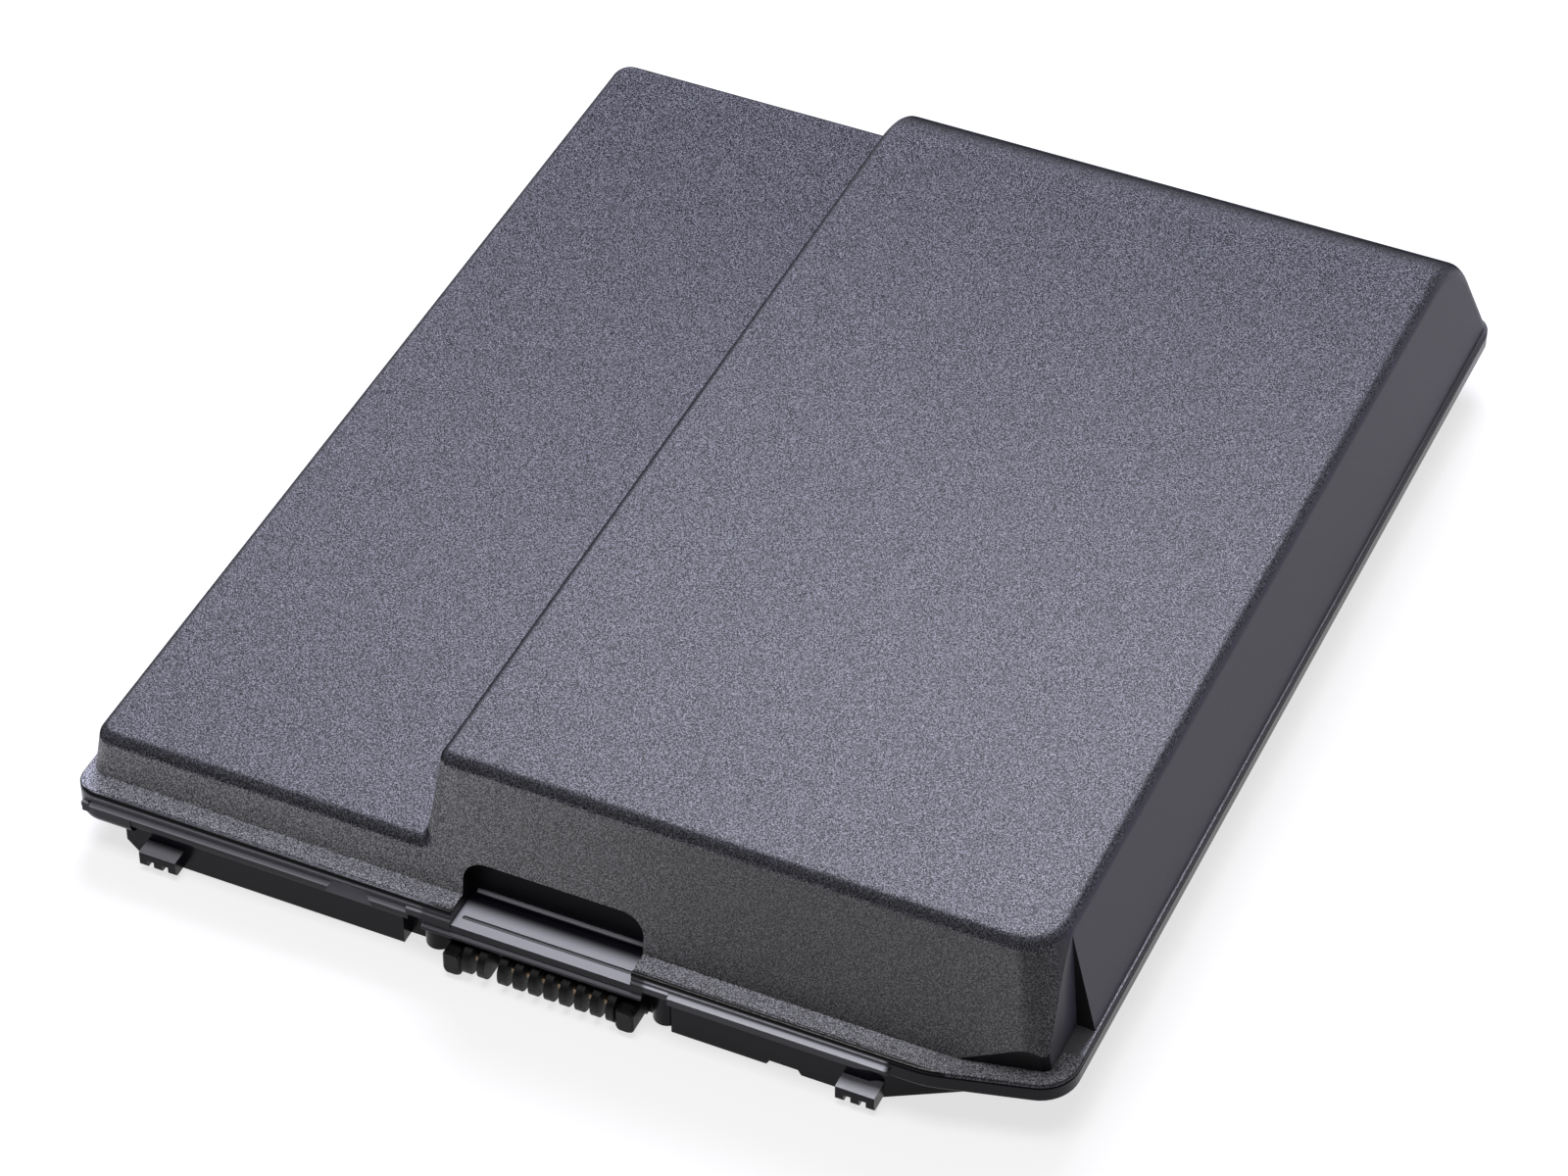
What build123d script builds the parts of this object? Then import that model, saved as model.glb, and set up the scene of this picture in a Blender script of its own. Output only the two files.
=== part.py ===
from build123d import *
import os
from math import cos, radians, sin, tan

# Removable battery pack of a rugged tablet computer: a stepped cover welded to a shallow case,
# ten flat cells in one and two layers, a protection board and a blade connector under a finger recess.
# Frame: +X to the right along the connector edge, +Y from that edge to the back, +Z up,
# origin at the middle of the underside. All sizes are in millimetres.

# Cells: flat lithium-ion cells in aluminium cans
cell_width = 33.8
cell_length = 49.8
cell_thickness = 11.3
can_radius = 3.0
terminal_height = 0.6
terminal_width = 7.0
terminal_thickness = 3.2
cell_gap = 1.0
lead_channel = 5.8
bus_thickness = 0.2
layer_tape_thickness = 0.8
low_pad_thickness = 1.0
top_pad_thickness = 2.1

# Case walls and drafts
cover_wall = 1.6
tray_wall = 1.5
tray_floor = 1.5
side_draft = 7.2
back_draft = 27.5

# Rim: the flat strip round the cover, the parting plane and the rail under it
flange_top = 9.15
parting = 8.6
rim_bottom = 6.4
rail_bottom = 5.5
rail_overlap = 0.8
rail_end = 1.3
rail_step = 1.3
rail_line = 6.6
rail_line_depth = 0.1
rail_edge_radius = 0.3
channel_radius = 0.67
channel_setback = 0.3
channel_z = 7.33
channel_end = 2.3
ledge_top = 8.05
ledge_edge = 7.45
ledge_bottom = 6.25
ledge_reach = 0.5
thin_edge = 7.8
thin_bottom = 6.7
thin_reach = 0.25
ledge_break = 0.15
rail_point = 20.0
rail_taper = 4.6
mark_from_bay = 6.5
mark_z = 4.75
mark_radius = 3.35
mark_tilt = 9.5
hood_left = 15.4
hood_right = 13.0
hood_shoulder = 5.95
hood_lip = 5.75
hood_bottom = 5.15
hood_reach = 0.35
hood_radius = 0.2
left_ledge_bottom = 3.9
left_ledge_radius = 1.8
left_overhang = 6.4
right_overhang = 6.3
left_margin = 2.5
right_margin = 0.2
left_lip = 0.6
right_lip = 0.5
back_lip = 0.9
back_clearance = 2.6
back_overhang = 5.2
strip_width = 3.3
rim_edge_radius = 0.35
seam_chamfer = 0.2
cover_seam = 0.12
rim_corner_radius = 3.2
strip_line_setback = 0.7
strip_line_width = 0.25
strip_line_depth = 0.15
rim_front_radius = 5.0
rim_bend_radius = 14.0
rim_bend_from_right = 15.8
rim_bend_angle = 14.6

# Cover edges
back_radius = 15.0
edge_radius = 1.8
corner_radius = 5.5
left_corner_radius = 2.6
step_foot_radius = 0.8
step_clearance = 1.8

# Pocket cut upright into the drafted front right corner
pocket_side = 2.75
pocket_length = 13.7
pocket_start = 13.3
pocket_angle = 12.5
pocket_radius = 1.2
pocket_lean = 10.0
pocket_rake = 15.5

# Skirt of the case
skirt_setback = 1.3
skirt_chamfer = 1.8
skirt_corner_radius = 2.5
diagonal_start = 23.1
diagonal_angle = 29.6
skirt_notch_from_diagonal = 10.7
skirt_notch_slant = 0.4
skirt_notch_width = 3.6
skirt_notch_height = 0.7
skirt_notch_depth = 1.1

# Finger recess over the connector
port_x = -0.9
recess_width = 23.3
recess_depth = 6.0
recess_top = 14.5
recess_floor = 7.2
recess_radius = 2.9
recess_bead = 0.5
recess_bead_z = 7.55
recess_wall = 1.4
groove_setback = 1.75
groove_width = 0.6
groove_depth = 0.3
groove_margin = 0.7

# Connector bay, comb and contacts
bay_left = 18.7
bay_right = 16.1
bay_setback = 3.1
cheek_radius = 1.75
cheek_offset = 14.8
cheek_bottom = 0.5
nose_reach = 1.6
pin_pitch = 2.0
fin_count = 7
fin_thickness = 1.0
key_pitch = 2.65
first_fin = 4.5
inner_block = 1.0
outer_block = 2.4
block_slit = 0.15
comb_bottom = 0.5
comb_top = 4.7
outer_top = 4.1
tooth_radius = 2.0
nose_radius = 1.7
block_radius = 0.8
block_edge = 0.3
slot_depth = 3.8
collar_depth = 1.4
collar_rim = 0.8
collar_top = 4.9
neck_inset = 0.5
neck_top = 4.55
housing_clearance = 0.15
contact_thickness = 0.4
contact_nose = 1.2
contact_top = 3.7
contact_clearance = 0.05
contact_tail = 2.8

# Guide tabs on the skirt
tab_width = 4.9
tab_reach = 1.0
tab_top = 2.9
tab_plate = 1.1
tab_bottom = 0.65
tab_teeth = 3
tooth_width = 1.05
tooth_tip_radius = 0.5
left_tab_from_side = 5.4
right_tab_from_diagonal = 0.8

# Protection board
board_width = 62.0
board_depth = 28.0
board_thickness = 1.0
board_lift = 0.5
board_clearance = 0.6
board_x = -1.0
boss_width = 3.4
peg_width = 1.6
peg_clearance = 0.1
peg_height = 0.6
peg_inset = 2.6
bus_standoff = 4.9

# Nickel leads and the ribs that hold the cells
lead_thickness = 0.3
return_width = 3.0
sense_width = 1.2
lead_margin = 0.5
lead_end_height = 8.0
lead_landing = 3.0
bus_band = 5.0
bus_margin = 10.0
bus_riser = 8.0
weld_slit_length = 4.0
weld_slit_width = 0.8
rib_thickness = 0.8
rib_height = 4.0
rib_clearance = 0.1
rib_length = 5.0
rib_offset = 13.5
front_tab_offset = 6.4
sensor_inset = 5.1
sensor_width = 2.0
sensor_standoff = 1.5
sensor_reach = 6.0
bead_width = 3.0
bead_length = 4.0
bead_height = 0.9
pad_width = 26.0
pad_length = 34.0
low_pad_length = 28.0

# Layout worked out from the cells outwards
case_width = (left_overhang + tray_wall + left_margin + cell_width + lead_channel + cell_width
              + cell_gap + cell_width + right_margin + tray_wall + right_overhang)
rim_left = -case_width / 2
rim_right = case_width / 2
tray_left = rim_left + left_overhang
tray_right = rim_right - right_overhang
low_column = tray_left + tray_wall + left_margin + cell_width / 2
mid_column = low_column + cell_width + lead_channel
right_column = mid_column + cell_width + cell_gap

lower_top = tray_floor + cell_thickness
upper_bottom = lower_top + layer_tape_thickness
upper_top = upper_bottom + cell_thickness
low_deck = lower_top + low_pad_thickness + cover_wall
high_deck = upper_top + top_pad_thickness + cover_wall
lower_middle = tray_floor + cell_thickness / 2
upper_middle = upper_bottom + cell_thickness / 2

side_slope = tan(radians(side_draft))
back_slope = tan(radians(back_draft))
front_zone = bay_setback + tray_wall + collar_depth + board_clearance + board_depth + bus_standoff
cell_stack = 2 * cell_length + 3 * bus_thickness
back_wall = cover_wall / cos(radians(back_draft)) + (upper_top - flange_top) * back_slope
case_depth = front_zone + cell_stack + back_clearance + back_wall + back_lip
rim_front = -(case_depth - nose_reach) / 2
rim_back = rim_front + case_depth
tray_back = rim_back - back_overhang
skirt_front = rim_front + skirt_setback
bay_back = rim_front + bay_setback
bay_inside = bay_back + tray_wall
collar_back = bay_inside + collar_depth
board_front = collar_back + board_clearance
board_back = board_front + board_depth
board_bottom = tray_floor + board_lift
board_top = board_bottom + board_thickness
front_bus_y = board_back + bus_standoff
front_row = front_bus_y + bus_thickness
middle_link_y = front_row + cell_length
back_row = middle_link_y + bus_thickness
rear_bus_y = back_row + cell_length

cover_left = rim_left + left_lip
cover_right = rim_right - right_lip
cover_front = rim_front + strip_width
cover_back = rim_back - back_lip
step_foot = (mid_column - cell_width / 2 - step_clearance - cover_wall / cos(radians(side_draft))
             - (upper_top - low_deck) * side_slope)

left_tab_x = tray_left + left_tab_from_side
diagonal_x = rim_right - diagonal_start
right_tab_x = diagonal_x - right_tab_from_diagonal
skirt_notch_x = diagonal_x - skirt_notch_from_diagonal
mark_x = port_x - bay_left - mark_from_bay
front_tab_x = mid_column + front_tab_offset
sensor_x = board_x - board_width / 2 + sensor_inset
rim_bend_x = rim_right - rim_bend_from_right
recess_left = port_x - recess_width / 2
recess_right = port_x + recess_width / 2
recess_back = rim_front + recess_depth

os.makedirs("parts", exist_ok=True)


def left_wall(z):
    """Outside of the cover's left wall at a height."""
    return cover_left + (z - flange_top) * side_slope


def right_wall(z):
    """Outside of the cover's right wall at a height."""
    return cover_right - (z - flange_top) * side_slope


def step_wall(z):
    """Outside of the wall between the two decks at a height."""
    return step_foot + (z - low_deck) * side_slope


def stepped_block(inset):
    """Stepped block with drafted walls and sharp edges, all faces moved inwards by inset."""
    shift = inset / cos(radians(side_draft))
    low = low_deck - inset
    high = high_deck - inset
    front_face = Plane(
        origin=(0, cover_front + shift, flange_top),
        x_dir=(1, 0, 0),
        z_dir=(0, -cos(radians(side_draft)), sin(radians(side_draft))),
    )
    back_face = Plane(
        origin=(0, cover_back - inset / cos(radians(back_draft)), flange_top),
        x_dir=(1, 0, 0),
        z_dir=(0, cos(radians(back_draft)), sin(radians(back_draft))),
    )
    with BuildPart() as block:
        with BuildSketch(Plane.XZ):
            with BuildLine():
                Polyline(
                    (left_wall(parting) + shift, parting),
                    (left_wall(low) + shift, low),
                    (step_wall(low) + shift, low),
                    (step_wall(high) + shift, high),
                    (right_wall(high) - shift, high),
                    (right_wall(parting) - shift, parting),
                    close=True,
                )
            make_face()
        extrude(amount=case_depth, both=True)
        split(bisect_by=front_face, keep=Keep.BOTTOM)
        split(bisect_by=back_face, keep=Keep.BOTTOM)
    return block.part


# Plan outlines shared by the cover and the case
with BuildSketch() as rim_outline:
    with BuildLine():
        FilletPolyline(
            (rim_left, rim_front),
            (rim_bend_x, rim_front),
            (rim_right, rim_front + rim_bend_from_right * tan(radians(rim_bend_angle))),
            (rim_right, rim_back),
            (rim_left, rim_back),
            radius=[
                rim_corner_radius,
                rim_bend_radius,
                rim_front_radius,
                rim_corner_radius,
                rim_corner_radius,
            ],
            close=True,
        )
    make_face()

with BuildSketch() as tray_outline:
    with BuildLine():
        Polyline(
            (tray_left, skirt_front),
            (port_x - bay_left, skirt_front),
            (port_x - bay_left, bay_back),
            (port_x + bay_right, bay_back),
            (port_x + bay_right, skirt_front),
            (diagonal_x, skirt_front),
            (tray_right, skirt_front + (tray_right - diagonal_x) * tan(radians(diagonal_angle))),
            (tray_right, tray_back),
            (tray_left, tray_back),
            close=True,
        )
    make_face()

with BuildSketch() as pocket_outline:
    pocket_x = rim_right - pocket_side
    pocket_from = rim_right - pocket_start
    with BuildLine():
        FilletPolyline(
            (pocket_from, rim_front - case_depth),
            (pocket_from, cover_front),
            (pocket_x, cover_front + (pocket_x - pocket_from) * tan(radians(pocket_angle))),
            (pocket_x, rim_back),
            (rim_right + case_width, rim_back),
            (rim_right + case_width, rim_front - case_depth),
            radius=[0, 0, pocket_radius, 0, 0, 0],
            close=True,
        )
    make_face()

pocket_face = Plane(
    origin=(0, rim_front + pocket_length, flange_top),
    x_dir=(1, 0, 0),
    z_dir=(0, cos(radians(pocket_lean)), sin(radians(pocket_lean))),
)


def corner_pocket(bottom, margin):
    """Tool that cuts the corner pocket from a height upwards, grown by a margin."""
    with BuildPart() as tool:
        with BuildSketch(Plane.XY.offset(bottom)):
            add(pocket_outline.sketch)
            if margin:
                offset(amount=margin, kind=Kind.INTERSECTION)
        extrude(amount=high_deck, dir=(0, -sin(radians(pocket_rake)), cos(radians(pocket_rake))))
        split(bisect_by=pocket_face.offset(margin), keep=Keep.BOTTOM)
    return tool.part


# Outside form of the cover, with its rounded edges
with BuildPart() as cover_form:
    add(stepped_block(0))
    top_edges = cover_form.edges().filter_by(Axis.X).group_by(Axis.Z)[-1]
    fillet(top_edges.sort_by(Axis.Y)[-1], radius=back_radius)
    deck_edges = cover_form.edges().filter_by(Axis.Y).group_by(Axis.Z)[1]
    fillet(deck_edges.sort_by(Axis.X)[-1], radius=step_foot_radius)
    uprights = cover_form.edges().filter_by(GeomType.LINE).filter_by(Axis.X, reverse=True)
    uprights = uprights.filter_by(Axis.Y, reverse=True)
    fillet(uprights.sort_by(Axis.X)[-2:].sort_by(Axis.Y)[0], radius=corner_radius)
    fillet(uprights.sort_by(Axis.X)[:2], radius=left_corner_radius)
    lines = cover_form.edges().filter_by(GeomType.LINE)
    along_x = lines.filter_by(Axis.X)
    along_y = lines.filter_by(Axis.Y)
    uprights = lines.filter_by(Axis.X, reverse=True).filter_by(Axis.Y, reverse=True)
    high_front = along_x.group_by(Axis.Z)[-1].sort_by(Axis.Y)[0]
    step_top = along_y.group_by(Axis.Z)[-1].sort_by(Axis.X)[0]
    low_left = along_y.filter_by_position(Axis.Z, low_deck - 0.1, low_deck + 0.1).sort_by(Axis.X)[0]
    step_uprights = uprights.filter_by_position(Axis.X, step_foot - 0.5, step_wall(high_deck))
    step_front = step_uprights.sort_by(Axis.Y)[0]
    fillet([high_front, step_top, low_left, step_front], radius=edge_radius)

# Space inside the cover, clear of the recess and pocket walls
with BuildPart() as cover_space:
    add(stepped_block(cover_wall))
    inner_top = cover_space.edges().filter_by(Axis.X).group_by(Axis.Z)[-1]
    fillet(inner_top.sort_by(Axis.Y)[-1], radius=back_radius - cover_wall)
    inner_uprights = cover_space.edges().filter_by(GeomType.LINE).filter_by(Axis.X, reverse=True)
    inner_uprights = inner_uprights.filter_by(Axis.Y, reverse=True)
    fillet(inner_uprights.sort_by(Axis.X)[-2:].sort_by(Axis.Y)[0], radius=corner_radius - cover_wall)
    fillet(inner_uprights.sort_by(Axis.X)[:2], radius=left_corner_radius - cover_wall)
    with BuildSketch(Plane.XY.offset(parting)):
        with Locations((port_x, rim_front)):
            Rectangle(recess_width + 2 * recess_wall, 2 * (recess_depth + recess_wall))
    extrude(amount=recess_top + recess_wall - parting, mode=Mode.SUBTRACT)
    add(corner_pocket(parting, cover_wall), mode=Mode.SUBTRACT)

# Upper cover: one moulded shell with the flat strip, the finger recess and the corner pocket
with BuildPart() as upper_cover:
    with BuildSketch(Plane.XY.offset(parting)):
        add(rim_outline.sketch)
    extrude(amount=flange_top - parting)
    chamfer(upper_cover.faces().sort_by(Axis.Z)[0].edges(), length=cover_seam)
    fillet(upper_cover.faces().sort_by(Axis.Z)[-1].edges(), radius=rim_edge_radius)
    line_y = rim_front + strip_line_setback
    with Locations(((rim_left + rim_bend_x) / 2, line_y, flange_top)):
        Box(
            rim_bend_x - rim_left - 2 * rim_corner_radius,
            strip_line_width,
            2 * strip_line_depth,
            mode=Mode.SUBTRACT,
        )
    add(cover_form.part)
    add(cover_space.part, mode=Mode.SUBTRACT)
    with BuildSketch(Plane.XZ.offset(-recess_back)):
        with BuildLine():
            FilletPolyline(
                (recess_left, 0),
                (recess_left, recess_top),
                (recess_right, recess_top),
                (recess_right, 0),
                radius=[0, recess_radius, recess_radius, 0],
                close=True,
            )
        make_face()
    extrude(amount=2 * recess_depth, mode=Mode.SUBTRACT)
    add(corner_pocket(flange_top, 0), mode=Mode.SUBTRACT)
upper_cover.part.label = "upper_cover"
export_step(upper_cover.part, "parts/upper_cover.step")


def front_bar(x_from, x_to, points, radii):
    """Bar along the front edge with a rounded profile, its points measured from the front of the rim."""
    with BuildSketch(Plane.YZ.offset(x_from)) as profile:
        with BuildLine():
            FilletPolyline(*[(rim_front + y, z) for y, z in points], radius=radii, close=True)
        make_face()
    extrude(profile.sketch, amount=x_to - x_from)


def front_ledge(x_from, x_to, reach, edge, bottom):
    """Ledge in front of the rim, its top a hollow curve that ends in a crisp edge."""
    back = rim_front + skirt_setback + rail_overlap
    tip = rim_front - reach
    with BuildSketch(Plane.YZ.offset(x_from)) as profile:
        with BuildLine():
            ThreePointArc(
                (rim_front, ledge_top),
                (rim_front - 0.29 * reach, ledge_top - 0.71 * (ledge_top - edge)),
                (tip, edge),
            )
            Polyline(
                (tip, edge),
                (tip, bottom + ledge_break),
                (tip + ledge_break, bottom),
                (back, bottom),
                (back, ledge_top),
                (rim_front, ledge_top),
            )
        make_face()
    extrude(profile.sketch, amount=x_to - x_from)


def guide_tab(x_middle):
    """Plate with teeth under it, standing out of the skirt."""
    left = x_middle - tab_width / 2
    tip = rim_front - tab_reach
    root = skirt_front + rail_overlap
    with BuildSketch(Plane.YZ.offset(left)) as profile:
        with BuildLine():
            FilletPolyline(
                (root, tab_top - tab_plate),
                (tip, tab_top - tab_plate),
                (tip, tab_top),
                (root, tab_top),
                radius=[0, 0, tooth_tip_radius / 2, 0],
                close=True,
            )
        make_face()
    extrude(profile.sketch, amount=tab_width)
    pitch = (tab_width - tooth_width) / (tab_teeth - 1)
    for tooth in range(tab_teeth):
        with BuildSketch(Plane.YZ.offset(left + tooth * pitch)) as profile:
            with BuildLine():
                FilletPolyline(
                    (root, tab_bottom),
                    (tip, tab_bottom),
                    (tip, tab_top - tab_plate),
                    (root, tab_top - tab_plate),
                    radius=[0, tooth_tip_radius, 0, 0],
                    close=True,
                )
            make_face()
        extrude(profile.sketch, amount=tooth_width)


def bar(x_from, x_to, y_from, y_to, z_from, z_to, mode=Mode.ADD):
    """Rectangular block between two corners."""
    with Locations(((x_from + x_to) / 2, (y_from + y_to) / 2, (z_from + z_to) / 2)):
        Box(x_to - x_from, y_to - y_from, z_to - z_from, mode=mode)


def folded_strip(x_middle, width, path, thickness):
    """Strip of metal folded along a square-cornered path in the YZ plane, thickness to its left."""
    normals = []
    for (y1, z1), (y2, z2) in zip(path, path[1:]):
        run = abs(y2 - y1) + abs(z2 - z1)
        normals.append(((z1 - z2) / run, (y2 - y1) / run))
    folded = []
    for index, (y, z) in enumerate(path):
        before = normals[max(index - 1, 0)]
        after = normals[min(index, len(normals) - 1)]
        same = index in (0, len(path) - 1)
        side = before if same else (before[0] + after[0], before[1] + after[1])
        folded.append((y + side[0] * thickness, z + side[1] * thickness))
    with BuildSketch(Plane.YZ.offset(x_middle - width / 2)) as profile:
        with BuildLine():
            Polyline(*path, *reversed(folded), close=True)
        make_face()
    extrude(profile.sketch, amount=width)


# Comb of the connector: positions across the edge
fins = [port_x - first_fin - key_pitch]
fins += [port_x - first_fin + pin_pitch * fin for fin in range(fin_count)]
slot_width = pin_pitch - fin_thickness
left_inner = fins[0] - fin_thickness / 2 - slot_width - inner_block
left_outer = left_inner - block_slit - outer_block
right_inner = fins[-1] + fin_thickness / 2 + slot_width
right_outer = right_inner + inner_block + block_slit
comb_right = right_outer + outer_block
neck_left = left_outer + neck_inset
neck_right = comb_right - neck_inset
nose = rim_front - nose_reach
slot_end = nose + slot_depth
contact_x = [fins[0] - pin_pitch / 2]
contact_x += [fin + pin_pitch / 2 for fin in fins[1:]]

# Tray of the case as a solid block, with the slanted left bottom edge
with BuildPart() as tray_block:
    add(tray_outline.sketch)
    extrude(amount=parting)
    lower_left = tray_block.edges().filter_by(Axis.Y).group_by(Axis.Z)[0].sort_by(Axis.X)[0]
    chamfer(lower_left, length=skirt_chamfer)

# Deeper edge of the rim along the left side, rounded below
with BuildPart() as left_ledge:
    with BuildSketch(Plane.XY.offset(left_ledge_bottom)):
        add(rim_outline.sketch)
        with Locations((tray_left + tray_wall, 0)):
            Rectangle(case_width, 2 * case_depth, align=(Align.MIN, Align.CENTER), mode=Mode.SUBTRACT)
    extrude(amount=rim_bottom + rail_overlap - left_ledge_bottom)
    outer = left_ledge.faces().sort_by(Axis.Z)[0].edges().sort_by(Axis.X)[0]
    fillet(outer, radius=left_ledge_radius)

# Lower case: one moulded tray with flange, rail, skirt, connector bay, guide tabs, ribs and bosses
with BuildPart() as lower_case:
    with BuildSketch(Plane.XY.offset(rim_bottom)):
        add(rim_outline.sketch)
    extrude(amount=parting - rim_bottom)
    chamfer(lower_case.faces().sort_by(Axis.Z)[-1].edges(), length=seam_chamfer)
    fillet(lower_case.faces().sort_by(Axis.Z)[0].edges(), radius=rim_edge_radius)
    add(tray_block.part)
    left_rail_end = port_x - bay_left + rail_step
    right_rail_start = port_x + bay_right + rail_step / 4
    rail_top = rim_bottom + rail_overlap
    rail_back = skirt_setback + rail_overlap
    left_rail = [
        (0, rail_top),
        (0, rail_line),
        (rail_line_depth, rail_line),
        (rail_line_depth, rail_bottom),
        (rail_back, rail_bottom),
        (rail_back, rail_top),
    ]
    hood = [
        (0, rail_top),
        (0, hood_shoulder),
        (-hood_reach, hood_lip),
        (-hood_reach, hood_bottom),
        (rail_back, hood_bottom),
        (rail_back, rail_top),
    ]
    front_bar(rim_left + rail_end, left_rail_end, left_rail, [0, 0, 0, rail_edge_radius, 0, 0])
    front_bar(port_x - hood_left, port_x + hood_right, hood, [0, 0, hood_radius, hood_radius, 0, 0])
    front_ledge(left_rail_end, recess_left, thin_reach, thin_edge, thin_bottom)
    front_ledge(recess_right, right_rail_start, thin_reach, thin_edge, thin_bottom)
    front_ledge(right_rail_start, rim_right - rail_point, ledge_reach, ledge_edge, ledge_bottom)
    with BuildSketch(Plane.XZ.offset(-rim_front)):
        with BuildLine():
            Polyline(
                (rim_right - rail_point - rail_taper, ledge_bottom),
                (rim_right - rail_point, ledge_edge),
                (rim_right, ledge_edge),
                (rim_right, rail_bottom),
                (rim_right - rail_point - rail_taper, rail_bottom),
                close=True,
            )
        make_face()
    extrude(amount=2 * ledge_reach, mode=Mode.SUBTRACT)
    add(left_ledge.part)
    bar(port_x - bay_left, port_x + bay_right, skirt_front, bay_inside, rail_bottom, rim_bottom)
    cheek_spots = [(port_x + side * cheek_offset, bay_back, cheek_bottom) for side in (-1, 1)]
    with Locations(*cheek_spots):
        Cylinder(cheek_radius, rail_bottom - cheek_bottom, align=(Align.CENTER, Align.CENTER, Align.MIN))
    guide_tab(left_tab_x)
    guide_tab(right_tab_x)
    # Hollow, with the shelf under the finger recess left standing
    with BuildSketch(Plane.XY.offset(tray_floor)):
        add(tray_outline.sketch)
        offset(amount=-tray_wall, kind=Kind.INTERSECTION)
    extrude(amount=rail_bottom - tray_floor, mode=Mode.SUBTRACT)
    with BuildSketch(Plane.XY.offset(rail_bottom)):
        add(tray_outline.sketch)
        offset(amount=-tray_wall, kind=Kind.INTERSECTION)
        with Locations((port_x, rim_front)):
            Rectangle(recess_width + 2 * recess_wall, 2 * (recess_depth + recess_wall), mode=Mode.SUBTRACT)
    extrude(amount=parting - rail_bottom, mode=Mode.SUBTRACT)
    # Recess floor with a fine groove along it and a bead at the foot of its back wall
    recess_mouth = rim_front - nose_reach
    recess_sky = parting + 1
    bar(recess_left, recess_right, recess_mouth, recess_back, recess_floor, recess_sky, mode=Mode.SUBTRACT)
    with Locations((port_x, recess_back - recess_bead / 10, recess_bead_z)):
        Cylinder(recess_bead, recess_width - 2 * groove_margin, rotation=(0, 90, 0))
    with BuildSketch(Plane.XY.offset(recess_floor)):
        with Locations((port_x, rim_front + groove_setback)):
            SlotOverall(recess_width - 2 * groove_margin, groove_width)
    extrude(amount=-groove_depth, mode=Mode.SUBTRACT)
    # Channel along the left rail, crescent mark and notch under the right skirt
    channel_from = rim_left + channel_end
    with Locations(((channel_from + left_rail_end) / 2, rim_front - channel_setback, channel_z)):
        Cylinder(channel_radius, left_rail_end - channel_from, rotation=(0, 90, 0), mode=Mode.SUBTRACT)
    mark_facing = (0, -cos(radians(mark_tilt)), sin(radians(mark_tilt)))
    with BuildSketch(Plane(origin=(mark_x, rim_front, mark_z), x_dir=(1, 0, 0), z_dir=mark_facing)):
        Circle(mark_radius)
    extrude(amount=2, mode=Mode.SUBTRACT)
    with BuildSketch(Plane.XZ.offset(-(skirt_front + skirt_notch_depth))):
        half = skirt_notch_width / 2
        with BuildLine():
            Polyline(
                (skirt_notch_x - half - skirt_notch_slant, 0),
                (skirt_notch_x - half, skirt_notch_height),
                (skirt_notch_x + half, skirt_notch_height),
                (skirt_notch_x + half + skirt_notch_slant, 0),
                close=True,
            )
        make_face()
    extrude(amount=2 * skirt_notch_depth, mode=Mode.SUBTRACT)
    # Opening for the connector's neck
    bar(
        neck_left - housing_clearance,
        neck_right + housing_clearance,
        bay_back - 1,
        bay_inside + 0.1,
        tray_floor,
        neck_top + housing_clearance,
        mode=Mode.SUBTRACT,
    )
    # Ribs round the cells
    rib_left = low_column - cell_width / 2 - rib_clearance - rib_thickness
    rib_top = tray_floor + rib_height
    for y_from in (front_row, back_row):
        bar(rib_left, rib_left + rib_thickness, y_from + 8, y_from + cell_length - 8, tray_floor, rib_top)
    for column in (low_column, mid_column, right_column):
        for x_side in (-rib_offset, rib_offset):
            x_from = column + x_side - rib_length / 2
            y_front = front_bus_y - rib_clearance - rib_thickness
            y_rear = rear_bus_y + bus_thickness + rib_clearance
            bar(x_from, x_from + rib_length, y_front, y_front + rib_thickness, tray_floor, rib_top)
            bar(x_from, x_from + rib_length, y_rear, y_rear + rib_thickness, tray_floor, rib_top)
    # Bosses and pegs under the board
    peg_x = board_width / 2 - peg_inset
    peg_spots = [
        (board_x + side * peg_x, y, tray_floor)
        for side in (-1, 1)
        for y in (board_front + peg_inset, board_back - peg_inset)
    ]
    with Locations(*peg_spots):
        Box(boss_width, boss_width, board_lift, align=(Align.CENTER, Align.CENTER, Align.MIN))
        peg_length = board_lift + board_thickness + peg_height
        Box(peg_width, peg_width, peg_length, align=(Align.CENTER, Align.CENTER, Align.MIN))
lower_case.part.label = "lower_case"
export_step(lower_case.part, "parts/lower_case.step")


def comb_block(x_from, width):
    """One tooth of the comb, rounded at the front."""
    with BuildSketch(Plane.YZ.offset(x_from)) as profile:
        with BuildLine():
            FilletPolyline(
                (slot_end, comb_bottom),
                (nose, comb_bottom),
                (nose, comb_top),
                (slot_end, comb_top),
                radius=[0, tooth_radius, nose_radius, 0],
                close=True,
            )
        make_face()
    extrude(profile.sketch, amount=width)


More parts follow.
